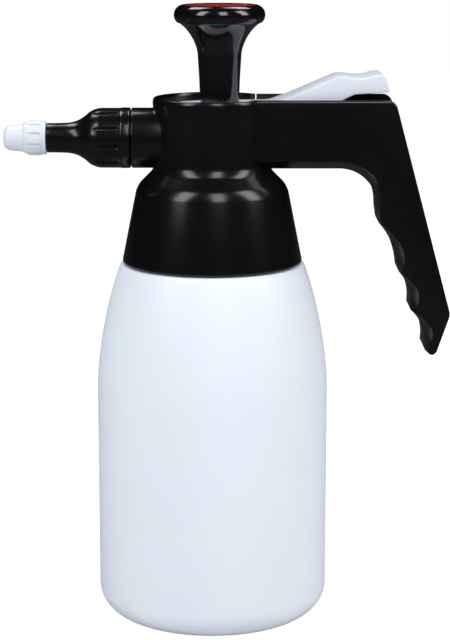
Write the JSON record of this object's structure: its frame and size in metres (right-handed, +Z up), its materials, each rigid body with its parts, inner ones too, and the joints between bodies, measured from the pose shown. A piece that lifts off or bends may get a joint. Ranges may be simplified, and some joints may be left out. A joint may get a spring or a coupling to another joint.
{
  "type": "pump sprayer",
  "caption": "Hand pump pressure sprayer with a white bottle, black head with side grip, thumb lever, plunger knob and an adjustable nozzle.",
  "frame": {"origin": "centre of the bottle's foot, on the plane it stands on", "axes": "+Z up the bottle, -X towards the nozzle, +X towards the handle"},
  "size_m": [0.1901, 0.1, 0.2652],
  "materials": {
    "bottle_plastic": "satin",
    "black_plastic": "gloss",
    "white_plastic": "satin",
    "red_plastic": "gloss",
    "natural_plastic": "satin",
    "rubber_seal": "matte",
    "steel": "satin",
    "brass": "satin"
  },
  "bodies": {
    "bottle": {"bottle": "bottle_plastic"},
    "head_lift": {"bottle_gasket": "rubber_seal"},
    "head": {"head_body": "black_plastic", "handle": "black_plastic", "grip_ribs": "black_plastic", "pump_cylinder": "natural_plastic", "cylinder_gasket": "rubber_seal", "cylinder_cap": "black_plastic", "air_valve_flap": "rubber_seal", "valve_spring": "steel", "valve_gland": "brass", "stem_oring": "rubber_seal", "valve_seat": "natural_plastic", "dip_tube": "natural_plastic", "tube_filter": "natural_plastic"},
    "pump_slide": {"piston_seal": "rubber_seal"},
    "pump_handle": {"pump_knob": "black_plastic", "knob_disc": "red_plastic", "piston_rod": "natural_plastic", "piston": "natural_plastic"},
    "lever": {"thumb_lever": "white_plastic"},
    "valve": {"valve_stem": "steel", "valve_poppet": "rubber_seal"},
    "nut_feed": {"nut_washer": "rubber_seal"},
    "nut": {"nozzle_nut": "black_plastic", "nozzle_oring": "rubber_seal"},
    "cap_feed": {"nozzle_core": "natural_plastic"},
    "cap": {"nozzle_cap": "white_plastic"}
  },
  "joints": [
    {"name": "head_lift", "type": "slide", "parent": "bottle", "child": "head_lift", "axis": [0, 0, 1], "range_m": [0, 0.0125]},
    {"name": "head_turn", "type": "hinge", "parent": "head_lift", "child": "head", "pos_m": [0, 0, 0.17], "axis": [0, 0, 1], "range_deg": [0, 900]},
    {"name": "pump_stroke", "type": "slide", "parent": "head", "child": "pump_slide", "axis": [0, 0, 1], "range_m": [0, 0.07]},
    {"name": "knob_spin", "type": "hinge", "parent": "pump_slide", "child": "pump_handle", "pos_m": [0.0032, 0, 0.2], "axis": [0, 0, 1], "continuous": true},
    {"name": "lever_press", "type": "hinge", "parent": "head", "child": "lever", "pos_m": [0.0188, 0, 0.221], "axis": [0, 1, 0], "range_deg": [0, 5], "stiffness_Nm_per_rad": 1.3, "springref_deg": -11.46},
    {"name": "valve_lift", "type": "slide", "parent": "head", "child": "valve", "axis": [0, 0, 1], "range_m": [0, 0.003], "deforming": ["valve_spring"]},
    {"name": "nut_feed", "type": "slide", "parent": "head", "child": "nut_feed", "axis": [-1, 0, 0], "range_m": [0, 0.009]},
    {"name": "nut_turn", "type": "hinge", "parent": "nut_feed", "child": "nut", "pos_m": [-0.05, 0, 0.209], "axis": [-1, 0, 0], "range_deg": [0, 1080]},
    {"name": "cap_feed", "type": "slide", "parent": "nut", "child": "cap_feed", "axis": [-1, 0, 0], "range_m": [0, 0.003]},
    {"name": "cap_turn", "type": "hinge", "parent": "cap_feed", "child": "cap", "pos_m": [-0.05, 0, 0.209], "axis": [-1, 0, 0], "range_deg": [0, 540]}
  ],
  "couplings": [
    {"joint": "head_turn", "follows": "head_lift", "rad_per_m": 1256.6},
    {"joint": "valve_lift", "follows": "lever_press", "m_per_rad": 0.0343},
    {"joint": "nut_turn", "follows": "nut_feed", "rad_per_m": 2094.4},
    {"joint": "cap_turn", "follows": "cap_feed", "rad_per_m": 3141.6}
  ]
}
